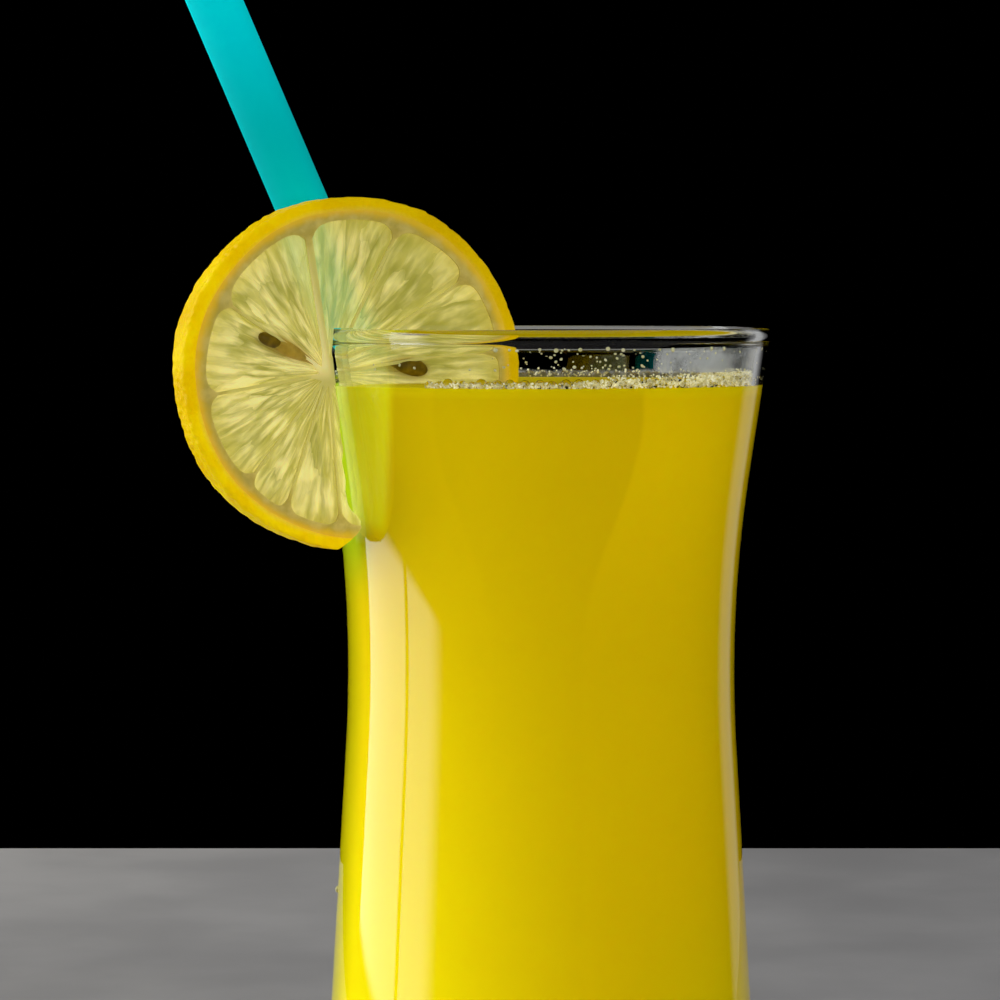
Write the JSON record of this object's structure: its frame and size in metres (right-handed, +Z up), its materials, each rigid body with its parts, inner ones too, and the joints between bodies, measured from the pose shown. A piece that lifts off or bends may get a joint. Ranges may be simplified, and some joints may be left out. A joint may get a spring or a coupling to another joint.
{
  "type": "glass of lemonade",
  "caption": "Waisted glass tumbler filled with cloudy yellow lemonade, with a wide turquoise straw and a lemon slice slit onto the rim.",
  "frame": {"origin": "middle of the underside of the glass, on the axis of the glass", "axes": "+Z up along the axis of the glass, -Y towards the front, the straw leans towards -X"},
  "size_m": [0.1069, 0.078, 0.2318],
  "materials": {
    "clear_glass": "clear, polished, fire-rounded rim",
    "lemonade": "cloudy wet drink with a ring of bubbles",
    "straw_plastic": "smooth satin turquoise",
    "lemon": "juicy translucent pulp, pale pith, pitted yellow rind"
  },
  "bodies": {
    "root": {"glass": "clear_glass", "lemonade": "lemonade", "straw": "straw_plastic", "lemon_slice": "lemon"}
  },
  "joints": []
}
